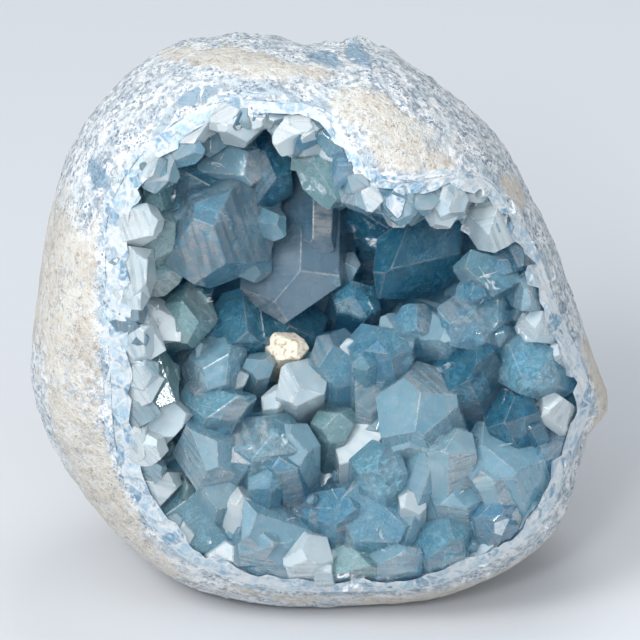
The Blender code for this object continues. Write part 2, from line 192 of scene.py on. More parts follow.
def lumps(theta, phi):
    """Broad low lumps of the tumbled rock: the sum of a few sine waves over the direction."""
    a, b, c = np.cos(phi) * np.cos(theta), np.cos(phi) * np.sin(theta), np.sin(phi)
    waves = np.sin(5.1 * a + 2.3 * b + 0.7) + np.sin(4.3 * b - 3.7 * c + 1.9)
    waves += 0.7 * np.sin(7.9 * c + 5.3 * a + 4.1) + 0.5 * np.sin(11.3 * b + 8.7 * a + 2.6)
    return LUMP_HEIGHT * waves / 2


def widening(theta):
    """How far the egg is stretched sideways: the outline's radius over the plain egg's widest."""
    phi = np.radians(np.linspace(-60, 60, 121))[:, None]
    widest = (egg_reach(theta[None, :], phi) * np.cos(phi)).max(axis=0)
    return smooth_table(OUTLINE, np.degrees(theta)) / widest


def form_point(theta, phi):
    """A point of the outer form: the reach plus the lumps along a direction, stretched sideways."""
    theta, phi = np.broadcast_arrays(theta, phi)
    flat, rise = theta.reshape(-1), phi.reshape(-1)
    reach = egg_reach(flat, rise) + lumps(flat, rise)
    side = reach * np.cos(rise) * widening(flat)
    points = np.stack([side * np.cos(flat), side * np.sin(flat), reach * np.sin(rise)], axis=-1)
    return points.reshape(theta.shape + (3,))


def lip_angle(theta):
    """The angle phi at which the form narrows to the mouth's radius, in front of its widest line."""
    phi = np.radians(np.linspace(-30, 90, 241))
    side = np.linalg.norm(form_point(theta[:, None], phi[None, :])[..., :2], axis=-1)
    mouth = smooth_table(MOUTH, np.degrees(theta))
    found = []
    for row, radius in zip(side, mouth):
        front = np.arange(row.argmax(), len(phi))
        found.append(np.interp(-radius, -row[front], phi[front]))
    return np.array(found)


def rim_width(theta):
    """How wide the rim of rock is: the outline's radius less the mouth's."""
    return smooth_table(OUTLINE, np.degrees(theta)) - smooth_table(MOUTH, np.degrees(theta))


def hollow_wall(theta, share):
    """The hollow's wall: out from its pole by a sine of the share, forward by one minus a cosine."""
    lip = form_point(theta, lip_angle(theta))
    thick = np.clip(rim_width(theta) / THICK_RIM, 0, 1)
    belly = np.radians(BELLY_THIN_RIM + (BELLY_THICK_RIM - BELLY_THIN_RIM) * thick)
    side = np.sin(share[:, None] * belly) / np.sin(belly)
    rise = 1 - np.cos(share[:, None] * math.pi / 2)
    weights = np.stack([side, side, np.broadcast_to(rise, side.shape)], axis=-1)
    return HOLLOW_POLE + (lip - HOLLOW_POLE)[None] * weights


def random_field(points, size, seed):
    """Smooth random values, -1 to 1: one at each corner of cubes, blended by 3t^2 - 2t^3."""
    lattice = np.random.default_rng(seed).uniform(-1, 1, (32, 32, 32))
    place = points / size
    corner = np.floor(place).astype(int)
    t = place - corner
    t = t * t * (3 - 2 * t)
    total = 0.0
    for step in itertools.product((0, 1), repeat=3):
        share = np.prod(np.where(step, t, 1 - t), axis=-1)
        i, j, k = np.moveaxis((corner + step) % 32, -1, 0)
        total = total + share * lattice[i, j, k]
    return total


def rough_field(points, size, seed):
    """Three random fields, each half as coarse and half as strong as the one before."""
    return sum(random_field(points, size / 2**k, seed + k) / 2**k for k in range(3)) / 1.75


def broken_facets(points, size, seed):
    """Flat chips at random: each place belongs to the nearest of the sites strewn through the cubes,
    and its height is that site's own slope times the offset from it."""
    chance = np.random.default_rng(seed)
    sites = chance.uniform(0, 1, (16, 16, 16, 3))
    slopes = chance.uniform(-1, 1, (16, 16, 16, 3))
    place = points / size
    corner = np.floor(place).astype(int)
    nearest = np.full(points.shape[:-1], 9.0)
    height = np.zeros(points.shape[:-1])
    for step in itertools.product((-1, 0, 1), repeat=3):
        i, j, k = np.moveaxis((corner + step) % 16, -1, 0)
        offset = place - (corner + step + sites[i, j, k])
        distance = np.linalg.norm(offset, axis=-1)
        closer = distance < nearest
        nearest = np.where(closer, distance, nearest)
        height = np.where(closer, (slopes[i, j, k] * offset).sum(axis=-1), height)
    return height


def fill_grid(name, rings):
    """A closed mesh from rings of points in order, each end closed to the middle of its last ring."""
    count, steps = rings.shape[:2]
    ends = np.stack([rings[0].mean(axis=0), rings[-1].mean(axis=0)])
    points = to_world(np.concatenate([rings.reshape(-1, 3), ends]))
    i, j = np.meshgrid(np.arange(count - 1), np.arange(steps), indexing="ij")
    k = (j + 1) % steps
    low = np.stack([i * steps + j, (i + 1) * steps + j, (i + 1) * steps + k], axis=-1)
    high = np.stack([i * steps + j, (i + 1) * steps + k, i * steps + k], axis=-1)
    j = np.arange(steps)
    k = (j + 1) % steps
    first, last, top = count * steps, count * steps + 1, (count - 1) * steps
    start = np.stack([np.full(steps, first), j, k], axis=-1)
    end = np.stack([np.full(steps, last), top + k, top + j], axis=-1)
    faces = np.concatenate([low.reshape(-1, 3), high.reshape(-1, 3), start, end]).tolist()
    mesh = bpy.data.meshes.new(name)
    mesh.from_pydata(points.tolist(), [], faces)
    return mesh


def note_points(mesh, name, values):
    """Stores one number for each of the mesh's points."""
    numbers = np.asarray(values, np.float32).ravel()
    mesh.attributes.new(name, "FLOAT", "POINT").data.foreach_set("value", numbers)


def point_places(mesh):
    """The place of every point of a mesh, in metres."""
    places = np.zeros(len(mesh.vertices) * 3, np.float32)
    mesh.vertices.foreach_get("co", places)
    return places.reshape(-1, 3)


def patch_cover(points, patches):
    """How far a place lies inside a patch: one minus the squared distance in the patch's own axes."""
    cover = np.full(points.shape[:-1], -9.0)
    for u, v, half_width, half_height, turn in patches:
        c, s = math.cos(math.radians(turn)), math.sin(math.radians(turn))
        du, dv = points[..., 0] - u, points[..., 1] - v
        a, b = (c * du + s * dv) / half_width, (c * dv - s * du) / half_height
        cover = np.maximum(cover, 1 - a * a - b * b)
    return cover


# The outer form's rows run from the lip to the back, closest together at the lip.
theta = np.radians(np.arange(ROCK_RING_STEPS) * 360.0 / ROCK_RING_STEPS)
lip = lip_angle(theta)
share = np.linspace(0, 1, ROCK_OUTER_ROWS + 1)[1:, None] ** 1.12
phi = lip[None, :] - (lip[None, :] + math.radians(89.5)) * share
outer = form_point(theta, phi)
wall = hollow_wall(theta, np.linspace(0.04, 1, ROCK_HOLLOW_ROWS))
from_lip = np.linalg.norm(outer - wall[-1:], axis=-1)
outward = outer / np.linalg.norm(outer, axis=-1, keepdims=True)

in_front = np.clip(outer[..., 2] / 12 + 1, 0, 1)
blotch = rough_field(outer, 34, 11)
mottle = rough_field(outer, 11, 21)
cream = patch_cover(outer, CREAM_PATCHES) * 0.6 + 0.2
behind = blotch * 1.6 + 0.45
cream = np.where(in_front > 0, cream * in_front + behind * (1 - in_front), behind) + mottle * 0.55
cream = np.clip(cream * 2.2, 0, 1) * np.clip((from_lip - 2) / 4, 0, 1)
facet_height = broken_facets(outer, FACET_SIZE, 31)
chip_height = broken_facets(outer, CHIP_SIZE, 41)
near_mouth = np.exp(-from_lip / GRAINS_REACH)
blue = np.clip(patch_cover(outer, BLUE_PATCHES) * 1.5 + mottle * 0.4, 0, 1) * in_front
near_mouth = np.maximum(near_mouth, 1.3 * blue)
vein = np.exp(-((rough_field(outer, VEIN_SPACING, 51) / 0.10) ** 2))

relief = 0.55 * rough_field(outer, 13, 61) + 0.30 * rough_field(outer, 4.5, 71)
relief += (1 - cream) * (0.55 * facet_height + 0.30 * chip_height)
relief -= VEIN_DEPTH * (1 - cream) * vein
relief -= PIT_DEPTH * np.clip(rough_field(outer, 5.5, 81) - 0.42, 0, 1)
for u, v, w, radius, height in ROCK_KNOBS:
    away = np.linalg.norm((outer - (u, v, w)) * (1, 1, KNOB_DEPTH_SHARE), axis=-1) / radius
    relief += height * np.clip(1 - away**2, 0, 1) ** 1.5 * (1 + 0.5 * facet_height)
relief = relief * np.clip(from_lip / RELIEF_SETS_IN, 0.1, 1)
shell = outer + outward * relief[..., None]

rock_mesh = fill_grid("rock", np.concatenate([wall, shell]))
# The ground spot: nothing reaches below the surface that it stands on.
places = point_places(rock_mesh)
places[:, 2] = np.maximum(places[:, 2], 0.0)
rock_mesh.vertices.foreach_set("co", places.ravel())
# Each number is noted over the hollow's wall, the outer form and the two end points.
for name, on_wall, values in (("cream", 0.0, cream), ("mouth", 1.0, near_mouth), ("vein", 0.0, vein)):
    wall_values = np.full(wall.shape[:2], on_wall).ravel()
    note_points(rock_mesh, name, np.concatenate([wall_values, values.ravel(), [0.0, 1.0]]))
rock_mesh.shade_smooth()
rock = put_in_scene("rock", rock_mesh)


class Wiring:
    """Lays out nodes in a tree: each call adds a node, sets its plain inputs and links the rest."""

    def __init__(self, tree):
        self.tree = tree

    def fill(self, node, inputs):
        for key, value in inputs.items():
            if isinstance(value, bpy.types.NodeSocket):
                self.tree.links.new(value, node.inputs[key])
            elif node.inputs[key].type == "RGBA":
                node.inputs[key].default_value = (*value, 1.0)
            else:
                node.inputs[key].default_value = value

    def add(self, kind, inputs=None, **settings):
        made = self.tree.nodes.new("ShaderNode" + kind)
        for key, value in settings.items():
            setattr(made, key, value)
        self.fill(made, inputs or {})
        return made

    def math(self, operation, a, b):
        return self.add("Math", {0: a, 1: b}, operation=operation).outputs[0]

    def times(self, a, b):
        return self.math("MULTIPLY", a, b)

    def plus(self, a, b):
        return self.math("ADD", a, b)

    def mix(self, share, a, b, blend="MIX"):
        made = self.add("Mix", {0: share, 6: a, 7: b}, data_type="RGBA", blend_type=blend)
        return made.outputs[2]

    def ramp(self, value, low, high):
        """Runs from 0 to 1 while the value goes from low to high."""
        return self.add("MapRange", {0: value, 1: low, 2: high, 3: 0.0, 4: 1.0}).outputs[0]

    def noise(self, place, scale, detail=3.0, distortion=0.0):
        inputs = {"Vector": place, "Scale": scale, "Detail": detail, "Distortion": distortion}
        return self.add("TexNoise", inputs).outputs[0]

    def cells(self, place, scale, feature="F1", output="Distance"):
        made = self.add("TexVoronoi", {"Vector": place, "Scale": scale}, feature=feature)
        return made.outputs[output]

    def attribute(self, name, output="Fac"):
        return self.add("Attribute", attribute_name=name).outputs[output]

    def finish(self, shader, body, rough, height, strength, depth):
        """Gives a shader its colour and roughness, and a bump from a height."""
        bump = self.add("Bump", {"Height": height, "Strength": strength, "Distance": depth})
        self.fill(shader, {"Base Color": body, "Roughness": rough, "Normal": bump.outputs[0]})

    def shaken(self, place, scale, size):
        """The place moved by up to the size, by coloured noise of that scale."""
        shift = self.add("TexNoise", {"Vector": place, "Scale": scale, "Detail": 3.0}).outputs["Color"]
        shift = self.add("VectorMath", {0: shift, 1: (size, size, size)}, operation="MULTIPLY")
        return self.add("VectorMath", {0: place, 1: shift.outputs[0]}, operation="ADD").outputs[0]


def new_material(name):
    """A material with its Principled shader, and the wiring that adds nodes to it."""
    made = bpy.data.materials.new(name)
    made.use_nodes = True
    return made, made.node_tree.nodes["Principled BSDF"], Wiring(made.node_tree)


chalk, shader, w = new_material("chalky rock")
place = w.add("TexCoord").outputs["Object"]
coarse = w.noise(place, 70, 6)
fine = w.noise(place, 420, 5)
grit = w.noise(place, 1500, 3)
marl = w.mix(w.ramp(coarse, 0.35, 0.7), (0.56, 0.51, 0.44), (0.68, 0.66, 0.61))
marl = w.mix(w.ramp(fine, 0.58, 0.74), marl, (0.42, 0.34, 0.25))
white = w.mix(w.ramp(fine, 0.50, 0.62), (0.74, 0.75, 0.75), (0.31, 0.38, 0.44))
shows = w.times(w.math("MAXIMUM", w.math("SUBTRACT", w.attribute("mouth"), 1.0), 0.0), 0.5)
shows = w.plus(shows, w.noise(place, 150, 6, 0.8))
bluish = w.mix(w.ramp(shows, 0.48, 0.56), white, (0.26, 0.37, 0.46))
wash = w.math("MAXIMUM", w.times(w.attribute("mouth"), 0.75), 0.3)
white = w.mix(wash, white, bluish)
marl_edge = w.plus(w.attribute("cream"), w.times(w.math("SUBTRACT", fine, 0.5), 2.6))
body = w.mix(w.ramp(marl_edge, 0.15, 0.95), white, marl)
ragged = w.shaken(place, 900.0, 0.0014)
speck = w.ramp(w.cells(ragged, 520), 0.36, 0.24)
speck = w.math("MAXIMUM", speck, w.ramp(w.cells(ragged, 1150), 0.34, 0.22))
speck = w.times(speck, w.ramp(w.noise(place, 130, 4), 0.44, 0.58))
vein_speck = w.times(w.attribute("vein"), w.ramp(w.noise(place, 520, 4, 1.0), 0.48, 0.58))
speck = w.math("MAXIMUM", speck, w.times(vein_speck, 0.8))
speck = w.times(speck, w.math("SUBTRACT", 1.0, w.times(w.attribute("cream"), 0.55)))
body = w.mix(w.times(speck, 0.9), body, (0.12, 0.19, 0.28))
# Small pits: sunk by the bump, and darkened to brown-grey as painted shade inside them.
pit_and_painted_shade = w.times(w.ramp(w.cells(place, 1100), 0.22, 0.10), w.ramp(w.noise(place, 240, 2), 0.5, 0.6))
body = w.mix(w.times(pit_and_painted_shade, 0.7), body, (0.30, 0.25, 0.20))
body = w.mix(w.times(grit, 0.25), body, (0.97, 0.97, 0.95), "MULTIPLY")
height = w.plus(w.times(fine, 0.7), w.times(grit, 0.3))
height = w.math("SUBTRACT", height, w.times(pit_and_painted_shade, 0.9))
w.finish(shader, body, w.plus(w.times(fine, 0.3), 0.5), height, 1.0, 0.0015)
rock_mesh.materials.append(chalk)

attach(rock, "root")
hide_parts("rind")


# The crystals
# Blocky celestite, grown inwards on a massive layer and into each other: chisel-shaped heads, clear to
# milky, sky blue to grey-blue. Where they reach the egg's form they are ground flush with the rock.
# The crystal's angles: of its prism, its chisel and its dome faces.
PRISM_ANGLE = math.radians(37.9)
CHISEL_ANGLE = math.radians(38.0)
DOME_ANGLE = math.radians(50.6)
ROOT_DEPTH = 6.0
HEAD_SPREAD = 1.18
REFRACTION = 1.62
# How deep an edge is worn, where the dot product of its two faces' normals is below a limit.
EDGE_WEAR = 0.14
SHARP_BELOW = 0.93
# Frosting, 0 to 1: of ground faces, of worn edges, and the share of the other faces that have some.
# On the worn edges it is partly wear and partly a painted highlight, a pale line along each edge.
GROUND_FROST = 0.7
WORN_FROST_AND_EDGE_HIGHLIGHT = 0.8
FROSTED_SHARE = 0.26
# The kinds of crystal, in the order of the piece's materials.
KINDS = ["sky", "deep", "veiled", "pale", "green", "smoky", "ground", "marl", "massive"]
# The heads: (u, v), depth below the egg's form, width, lean to the right and up for each step out,
# turn, kind.
CRYSTALS = [
    # The cluster at the upper left, which leans out over the hollow.
    (-44, 38, 26, 22, 0.5, -0.4, 20, "deep"),
    (-32, 43, 25, 17, 0.3, -0.6, 60, "veiled"),
    (-22, 41, 30, 17, 0.1, -0.5, -15, "deep"),
    (-32, 21, 21, 30, 0.3, -0.4, 35, "sky"),
    (-50, 23, 19, 17, 0.7, -0.1, 10, "green"),
    (-20, 27, 28, 9, 0.2, -0.3, 50, "sky"),
    (-54, 36, 17, 11, 0.6, -0.4, 35, "green"),
    (-56, 11, 17, 13, 0.8, 0.0, 60, "green"),
    (-47, 8, 33, 13, 0.5, 0.0, 15, "deep"),
    # The dark pillar that hangs at the back.
    (-11, -1, 44, 27, -0.07, -3.2, 8, "smoky"),
    # Pale heads under the top rim.
    (-3, 53, 9, 17, 0.0, -0.9, 25, "pale"),
    (-15, 60, 11, 11, 0.1, -0.9, 0, "sky"),
    (-9, 61, 4, 12, 0.0, -0.7, 50, "pale"),
    (4, 46, 12, 14, 0.0, -1.2, 70, "pale"),
    (-1, 37, 16, 17, 0.0, -1.8, 5, "green"),
    (13, 37, 14, 14, 0.0, -1.8, 40, "pale"),
    (25, 33, 14, 18, -0.1, -1.8, 0, "green"),
    # The right side, from the rim down.
    (18, 25, 44, 18, 0.1, -0.5, 30, "deep"),
    (28, 15, 30, 25, -0.2, -0.3, 55, "deep"),
    (43, 41, 4, 17, -0.5, -0.7, 15, "pale"),
    (42, 53, 1, 15, -0.4, -0.8, 75, "pale"),
    (36, 30, 9, 8, -0.3, -0.4, 20, "pale"),
    (47, 26, 9, 18, -0.6, -0.4, 30, "pale"),
    (48, 12, 15, 15, -0.5, 0.0, 0, "sky"),
    (45, -1, 19, 18, -0.4, 0.1, 65, "sky"),
    (58, 19, 9, 13, -0.7, -0.1, 45, "deep"),
    (61, 8, 10, 14, -0.8, 0.0, 10, "veiled"),
    (63, -5, 8, 10, -0.7, 0.1, 70, "pale"),
    (73, 12, 1, 15, -0.9, 0.0, 35, "pale"),
    (73, -5, 2, 17, -0.9, 0.1, 5, "pale"),
    (61, -17, 12, 16, -0.6, 0.2, 50, "sky"),
    # The middle of the hollow.
    (4, 14, 48, 10, 0.0, 0.2, 80, "veiled"),
    (-10, -4, 47, 14, 0.0, 0.3, 35, "deep"),
    (9, 4, 42, 12, 0.1, 0.3, 0, "deep"),
    (15, -7, 27, 16, -0.1, 0.8, 15, "sky"),
    (22, -6, 30, 11, 0.0, 0.6, 50, "veiled"),
    (28, -2, 30, 11, 0.0, 0.5, 20, "sky"),
    (35, -5, 27, 12, -0.1, 0.4, 0, "veiled"),
    (41, -14, 26, 19, -0.3, 0.6, 30, "deep"),
    (28, -27, 21, 23, -0.2, 0.6, 70, "veiled"),
    (3, -13, 35, 15, 0.0, 0.7, 40, "sky"),
    (9, -12, 33, 8, 0.1, 0.5, 10, "pale"),
    (14, -24, 28, 11, 0.0, 0.6, 60, "veiled"),
    (-9, -23, 25, 14, 0.0, 0.3, 44, "pale"),
    (2, -35, 29, 11, 0.1, 0.5, 25, "green"),
    (10, -40, 29, 14, 0.0, 0.6, 75, "pale"),
    (-23, -17, 31, 8, 0.1, 0.4, 30, "veiled"),
    (-18, -28, 29, 8, 0.0, 0.5, 65, "pale"),
    # The left side.
    (-27, -2, 38, 20, 0.2, 0.4, 20, "deep"),
    (-42, -1, 24, 17, 0.6, 0.1, 50, "green"),
    (-54, -2, 16, 14, 0.7, 0.1, 0, "pale"),
    (-34, -15, 28, 16, 0.4, 0.4, 70, "veiled"),
    (-57, -20, 13, 18, 0.6, 0.3, 25, "green"),
    (-53, -33, 13, 14, 0.5, 0.5, 55, "pale"),
    (-36, -26, 22, 17, 0.3, 0.6, 10, "sky"),
    (-37, -41, 15, 17, 0.3, 0.6, 80, "veiled"),
    (-20, -38, 20, 19, 0.1, 0.7, 30, "sky"),
    (-28, -43, 19, 8, 0.2, 0.6, 0, "veiled"),
    (-57, -53, 8, 14, 0.5, 0.6, 0, "pale"),
    # The front of the floor.
    (-12, -42, 21, 12, 0.0, 0.7, 20, "veiled"),
    (-21, -53, 17, 10, 0.1, 0.7, 60, "sky"),
    (-35, -53, 17, 13, 0.2, 0.7, 35, "veiled"),
    (-42, -66, 15, 24, 0.3, 0.6, 10, "sky"),
    (-28, -61, 17, 9, 0.2, 0.8, 40, "pale"),
    (-17, -66, 16, 23, 0.1, 0.6, 55, "veiled"),
    (-9, -76, 11, 15, 0.0, 0.6, 0, "pale"),
    (-33, -79, 9, 14, 0.2, 0.7, 75, "pale"),
    (-19, -85, 6, 14, 0.1, 0.7, 30, "sky"),
    (1, -60, 18, 15, 0.0, 0.6, 45, "sky"),
    (16, -49, 17, 14, 0.0, 0.7, 5, "sky"),
    (17, -63, 16, 20, 0.0, 0.6, 20, "sky"),
    (27, -61, 15, 8, 0.0, 0.5, 70, "pale"),
    (35, -72, 13, 17, -0.1, 0.7, 40, "sky"),
    (41, -58, 15, 14, -0.1, 0.6, 15, "veiled"),
    (8, -81, 8, 14, 0.0, 0.7, 60, "green"),
    (21, -77, 10, 14, 0.0, 0.7, 10, "veiled"),
    # The floor at the lower right.
    (39, -40, 17, 15, 0.0, 0.9, 0, "veiled"),
    (54, -44, 13, 20, -0.3, 0.8, 30, "veiled"),
    (68, -43, 11, 15, -0.5, 0.6, 60, "sky"),
    (57, -28, 15, 17, -0.3, 0.6, 10, "deep"),
    (69, -30, 9, 10, -0.7, 0.5, 45, "pale"),
    (80, -29, 1, 16, -0.9, 0.4, 20, "pale"),
    (79, -46, 5, 13, -0.8, 0.5, 70, "veiled"),
    (74, -60, 6, 14, -0.7, 0.7, 0, "pale"),
    (64, -64, 9, 13, -0.4, 0.8, 50, "veiled"),
    (52, -60, 13, 15, -0.1, 0.8, 25, "sky"),
    (51, -75, 9, 16, -0.1, 0.7, 65, "pale"),
    # Heads at the left and top rims, ground down with the rock.
    (-62, 30, 1, 20, 0.9, -0.2, 30, "pale"),
    (-61, 12, 2, 17, 0.9, 0.0, 0, "pale"),
    (-64, -40, 2, 15, 0.8, 0.6, 65, "pale"),
    (-62, -9, 2, 15, 0.9, 0.1, 45, "pale"),
    (-54, 45, 1, 20, 0.7, -0.7, 15, "pale"),
    (-41, 58, 5, 17, 0.4, -0.8, 45, "pale"),
    (-28, 59, 6, 15, 0.2, -0.9, 75, "pale"),
    (-52, -70, 6, 14, 0.5, 0.7, 20, "pale"),
    # A chip of the rock, cemented between the crystals.
    (-14, -11, 33, 10, 0.1, 0.3, 15, "marl"),
]
# Smaller crystals: on each large one's flanks, in the gaps, and in rows round the rim, with the
# nearest and furthest from the lip, the narrowest and widest, and how many.
COMPANIONS_EACH = 4
GAP_FILLERS = 240
RIM_ROWS = [(0.5, 5.0, 4.0, 9.0, 130), (5.0, 12.0, 6.0, 12.0, 90)]
# Healed cracks in each large crystal.
SHEETS_EACH = 3
SHEET_HALF_THICKNESS = 0.12
# Grinding: how many faces one crystal may get, how far under the rock those end that it covers, and
# the width below which a ground face has the rim's finish.
GRINDING_ROUNDS = 12
ROCK_COVER = 1.6
FLUSH_BELOW = 6.5
# The massive layer: its depth at the lip, half way back and at the deepest point.
LINING_AT_LIP = [
    (0, 5.0), (45, 4.5), (70, 3.5), (100, 4.0), (150, 6.5), (190, 7.0), (230, 5.5), (270, 4.0),
    (320, 4.5),
]
LINING_HALFWAY = [
    (0, 30.0), (60, 20.0), (110, 13.0), (160, 16.0), (200, 24.0), (240, 27.0), (270, 26.0),
    (320, 31.0),
]
LINING_AT_POLE = 22.0
LINING_KNOBS = 2.4
# The ground cut starts behind the lip: by this much, wandering and frayed by so much. The mouth's
# mean radius makes an angle of that, and the cut roughens over the next few millimetres.
SETBACK, SETBACK_WANDER, SETBACK_FRAY = 2.4, 2.0, 0.9
MOUTH_RADIUS = 92
CUT_ROUGHENS_OVER = 5
CRUST_RING_STEPS = 216
CRUST_ROWS = 10
CAP_ROWS = 30


def unit(vector):
    """The vector drawn out or in to a length of one."""
    return vector / np.linalg.norm(vector)


def inward_normals(sheet):
    """Normals that point into the hollow: the cross product of the grid's steps along and around."""
    along = np.gradient(sheet, axis=0)
    around = np.roll(sheet, -1, axis=1) - np.roll(sheet, 1, axis=1)
    normals = np.cross(along, around)
    return normals / np.linalg.norm(normals, axis=-1, keepdims=True)


def lining_front(theta, share):
    """The massive layer's surface: the wall moved inwards by a depth blended from the lip, half way
    and the pole as (1-s)^2, 2s(1-s) and s^2."""
    sheet = hollow_wall(theta, share)
    s = share[:, None]
    degrees = np.degrees(theta)
    depth = LINING_AT_POLE * (1 - s) ** 2
    depth = depth + 2 * s * (1 - s) * smooth_table(LINING_HALFWAY, degrees)
    depth = depth + s**2 * smooth_table(LINING_AT_LIP, degrees)
    normals = inward_normals(sheet)
    return sheet + normals * depth[..., None], normals


def form_depth(u, v):
    """The depth w of the egg's own form in front of (u, v)."""
    phi = np.radians(np.linspace(90, 0, 91))
    line = form_point(math.atan2(v, u), phi)
    return np.interp(math.hypot(u, v), np.hypot(line[:, 0], line[:, 1]), line[:, 2])


def form_planes(points):
    """Planes that touch the egg's form out from each of these points: the form's point in that
    direction and its normal, the cross product of small steps of theta and phi. Also tells which lie
    inside the mouth."""
    theta = np.arctan2(points[:, 1], points[:, 0])
    phi = np.arctan2(points[:, 2], np.hypot(points[:, 0], points[:, 1]) / widening(theta))
    spots = form_point(theta, phi)
    along, rise = form_point(theta + 0.02, phi) - spots, form_point(theta, phi + 0.02) - spots
    normals = np.cross(along, rise)
    normals /= np.linalg.norm(normals, axis=1, keepdims=True)
    return spots, normals, phi > np.interp(theta, ring, ring_lip, period=2 * math.pi)


def ground_down(normals, reach, head, axes, chance):
    """The planes with a few more: each time, the corner that stands out furthest from the egg's form
    gets the plane that touches the form there, a little sunk, or well sunk where rock lies over it.
    Gives nothing where the head itself stands out."""
    for _ in range(GRINDING_ROUNDS):
        corners, _ = solid_corners(normals, reach)
        corners = corners @ axes + head
        spots, outward, in_mouth = form_planes(corners)
        sink = np.where(in_mouth, 0.0, ROCK_COVER)
        proud = ((corners - spots) * outward).sum(axis=1) + sink
        worst = proud.argmax()
        if proud[worst] < 0.4:
            break
        tilted = unit(axes @ outward[worst] + chance.normal(0, 0.03, 3))
        ground = (spots[worst] - head) @ outward[worst] - sink[worst] - chance.uniform(0.0, 0.6)
        if ground < 0.3:
            return None, None
        normals = np.concatenate([normals, [tilted]])
        reach = np.concatenate([reach, [ground]])
    return normals, reach


def root_length(head, axis, wall_points):
    """How far back along its axis a crystal comes within 3 mm of the wall or behind it, plus the
    depth of its root."""
    steps = np.arange(3.0, 110.0, 1.0)
    line = head - axis * steps[:, None]
    gaps = ((line[:, None, :] - wall_points[None, :, :]) ** 2).sum(axis=2)
    nearest = gaps.argmin(axis=1)
    there = (gaps.min(axis=1) < 3.0**2) | (line[:, 2] < wall_points[nearest, 2] - 1.0)
    return (steps[there.argmax()] if there.any() else steps[-1]) + ROOT_DEPTH


def crystal_planes(width, length, chance):
    """The flat faces that bound one crystal, as normals and distances from its head: four prism and
    two side faces on the shaft, two chisel and two dome faces on the head, and the end of its root."""
    chisel, dome, side, skew = chance.uniform((0.7, 0.8, 0.75, -1.0), (1.2, 1.4, 1.15, 1.0))
    half = width / 2 * HEAD_SPREAD
    normals, reach = [], []
    for sign in (1, -1):
        for other in (1, -1):
            normals.append((sign * math.cos(PRISM_ANGLE), other * math.sin(PRISM_ANGLE), 0))
            reach.append(half * (1 + 0.12 * skew * sign * other))
        normals.append((sign * math.sin(CHISEL_ANGLE), 0, math.cos(CHISEL_ANGLE)))
        reach.append(half * chisel * (0.9 + 0.45 * skew * sign))
        normals.append((0, sign * math.sin(DOME_ANGLE), math.cos(DOME_ANGLE)))
        reach.append(half * dome * (0.9 - 0.45 * skew * sign))
        normals.append((0, sign, 0))
        reach.append(half * side)
    normals.append((0, 0, -1))
    reach.append(length)
    return np.array(normals), np.array(reach)


def solid_corners(normals, reach):
    """The corners of the solid behind some planes: every three planes meet in a point, and it is a
    corner if it lies behind all the others. Gives the corners and the three planes of each."""
    trios = np.array(list(itertools.combinations(range(len(normals)), 3)))
    three = normals[trios]
    firm = np.abs(np.linalg.det(three)) > 1e-7
    trios = trios[firm]
    points = np.linalg.solve(three[firm], reach[trios][..., None])[..., 0]
    behind = (points @ normals.T <= reach + 1e-9).all(axis=1)
    return points[behind], trios[behind]


def solid_faces(normals, points, trios):
    """The corner loop of every plane that bounds the solid, in order round the face's middle."""
    loops, planes = [], []
    for k, normal in enumerate(normals):
        on = np.where((trios == k).any(axis=1))[0]
        if len(on) < 3:
            continue
        arms = points[on] - points[on].mean(axis=0)
        first = arms[np.argmax((arms**2).sum(axis=1))]
        turn = np.arctan2(arms @ np.cross(normal, first), arms @ first)
        loops.append(on[np.argsort(turn)])
        planes.append(k)
    return loops, planes


def worn_edges(normals, reach, wear):
    """The planes with one more along each sharp edge: its normal is half way between its faces'."""
    points, trios = solid_corners(normals, reach)
    pairs = np.concatenate([trios[:, [0, 1]], trios[:, [1, 2]], trios[:, [0, 2]]])
    sides = np.unique(np.sort(pairs, axis=1), axis=0)
    extra, distances = [], []
    for a, b in sides:
        on = ((trios == a).any(axis=1)) & ((trios == b).any(axis=1))
        if on.sum() == 2 and normals[a] @ normals[b] < SHARP_BELOW:
            between = unit(normals[a] + normals[b])
            extra.append(between)
            distances.append((points[on] @ between).max() - wear)
    return np.concatenate([normals, extra]), np.concatenate([reach, distances])


def grow_crystal(head, axis, turn, width, length, kind, chance):
    """Adds one crystal as a mesh object: its planes, those it is ground down to, its worn edges and
    its corners, stood up along its axis at its head. None grows where its head stands out."""
    normals, reach = crystal_planes(width, length, chance)
    normals = normals + chance.normal(0, 0.006, normals.shape)
    normals /= np.linalg.norm(normals, axis=1, keepdims=True)
    axes = own_axes(axis, turn)
    first_cut = len(normals)
    normals, reach = ground_down(normals, reach, head, axes, chance)
    if normals is None:
        return
    first_worn = len(normals)
    normals, reach = worn_edges(normals, reach, EDGE_WEAR * chance.uniform(0.5, 1.3))
    reach = reach + chance.uniform(-0.01, 0.01, len(reach))
    points, trios = solid_corners(normals, reach)
    loops, planes = solid_faces(normals, points, trios)
    mesh = bpy.data.meshes.new("crystal")
    places = to_world(points @ axes + head)
    mesh.from_pydata(places.tolist(), [], [loop.tolist() for loop in loops])
    count = len(normals)
    frosted = chance.uniform(size=count) < FROSTED_SHARE
    frost_and_edge_highlight = np.where(frosted, chance.uniform(0.2, 1, count), 0.0)
    frost_and_edge_highlight[first_cut:first_worn] = GROUND_FROST
    # Worn edges: frosted, and pale as a painted highlight along the edge.
    frost_and_edge_highlight[first_worn:] = WORN_FROST_AND_EDGE_HIGHLIGHT
    planes = np.array(planes)
    ground = (planes >= first_cut) & (planes < first_worn) & (width < FLUSH_BELOW)
    kind = np.where(ground, KINDS.index("ground"), kind)
    corner_of = np.concatenate(loops)
    own_place = points * MM + chance.uniform(-1, 1, 3)
    note_crystal(mesh, kind, chance.uniform(), frost_and_edge_highlight[planes], own_place[corner_of])
    growth.objects.link(bpy.data.objects.new("crystal", mesh))


